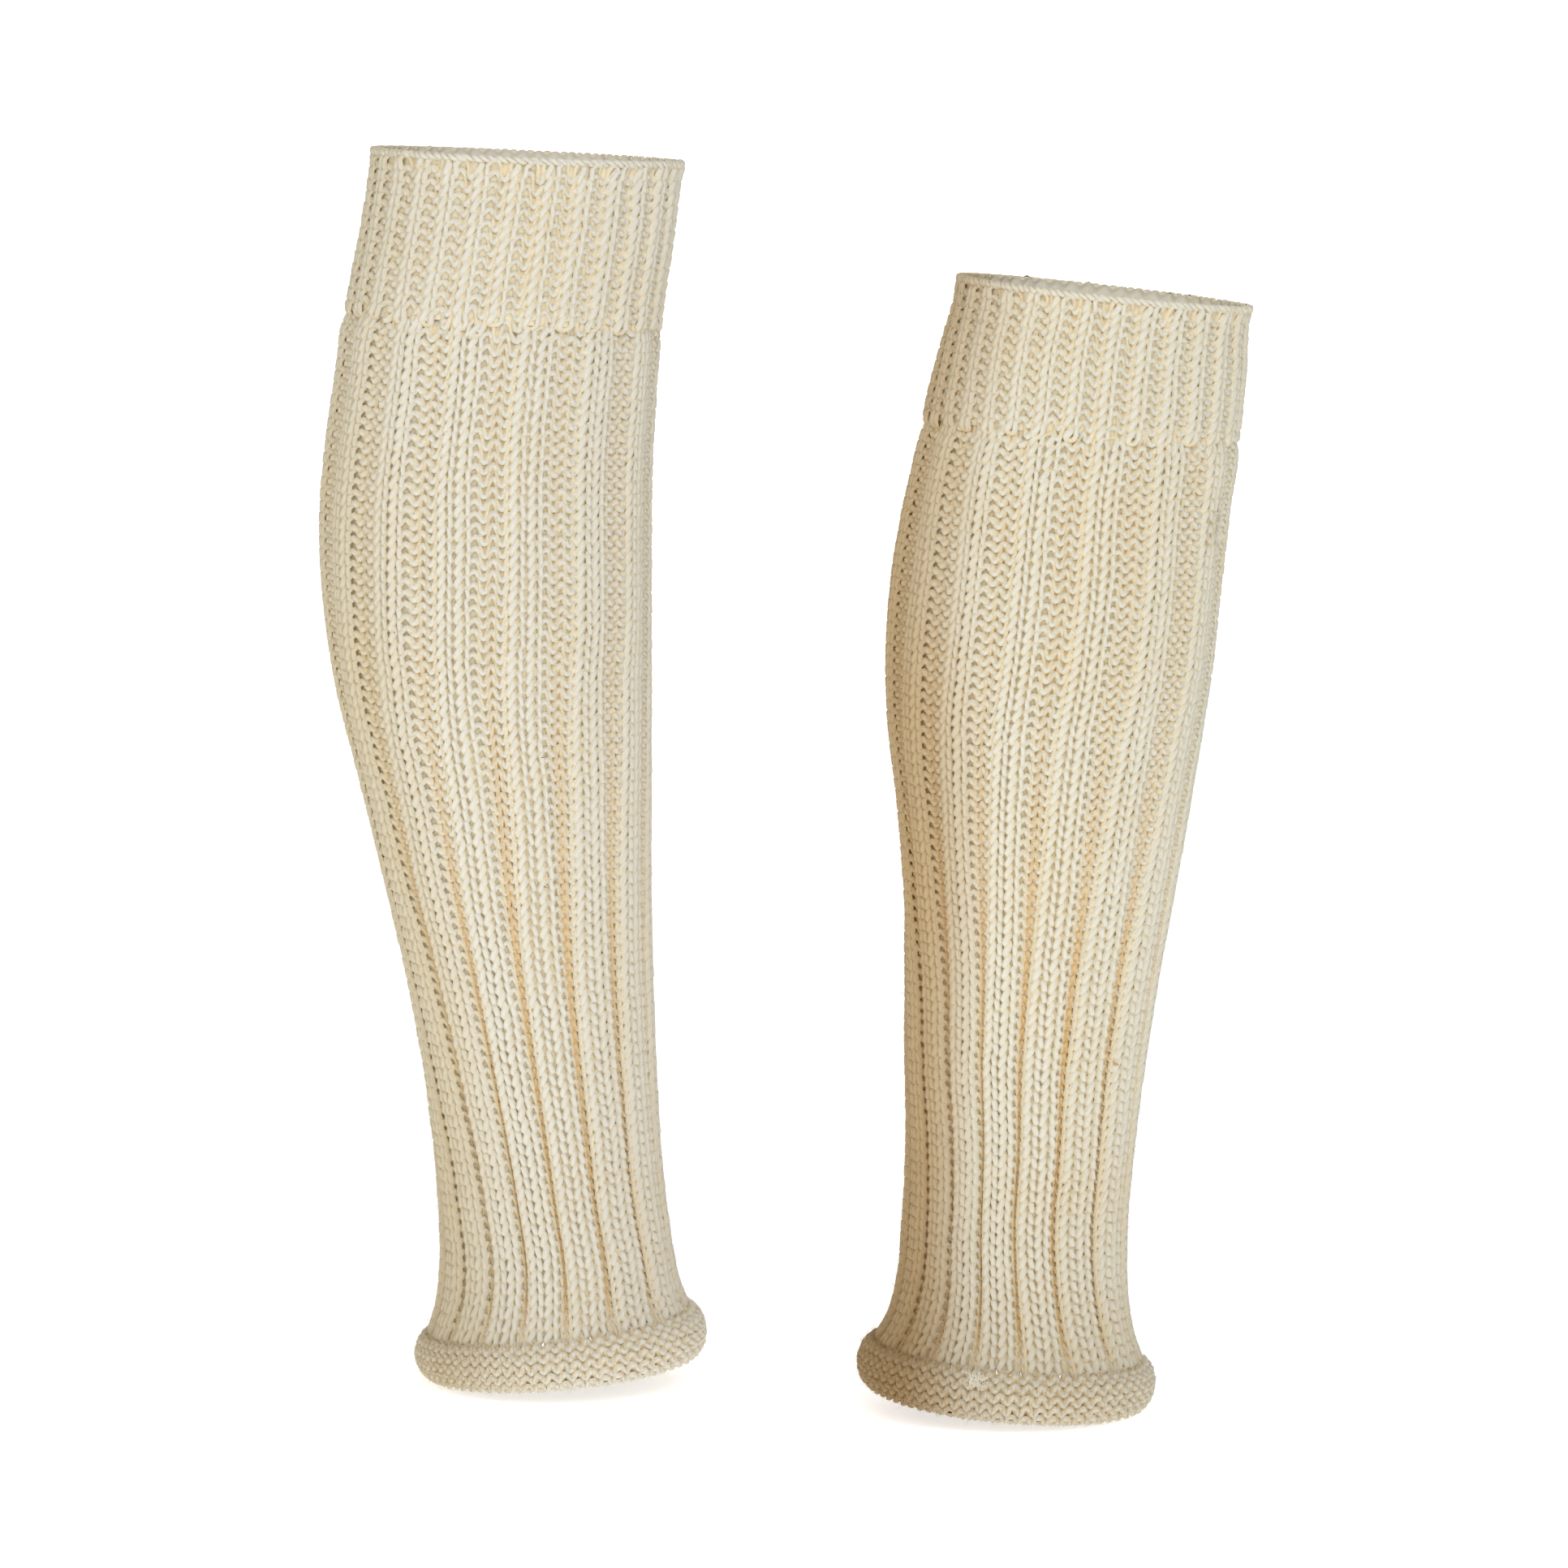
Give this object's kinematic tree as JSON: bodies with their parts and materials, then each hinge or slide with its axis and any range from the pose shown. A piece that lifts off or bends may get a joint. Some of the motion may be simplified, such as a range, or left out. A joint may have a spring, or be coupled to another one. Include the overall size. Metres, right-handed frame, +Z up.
{
  "type": "pair of leg warmers",
  "caption": "Pair of footless knitted wool leg warmers in cream rib, hollow and open at calf and ankle, with a close rib cuff at the top and an outward-rolled hem.",
  "frame": {"origin": "in the middle of the left warmer's opening at the height where its cuff meets its leg, which is where it grips the calf", "axes": "+Z up along the leg, +X the way the shins face, -Y the side that the picture shows"},
  "size_m": [0.3255, 0.1488, 0.4399],
  "materials": {
    "left_wool": "cream undyed hand-knit wool, matte and slightly fuzzy",
    "right_wool": "cream undyed hand-knit wool of a slightly yellower batch, matte and slightly fuzzy"
  },
  "bodies": {
    "root": {"left_cuff": "left_wool", "left_hem": "left_wool", "left_leg": "left_wool", "right_cuff": "right_wool", "right_hem": "right_wool", "right_leg": "right_wool"}
  },
  "joints": []
}
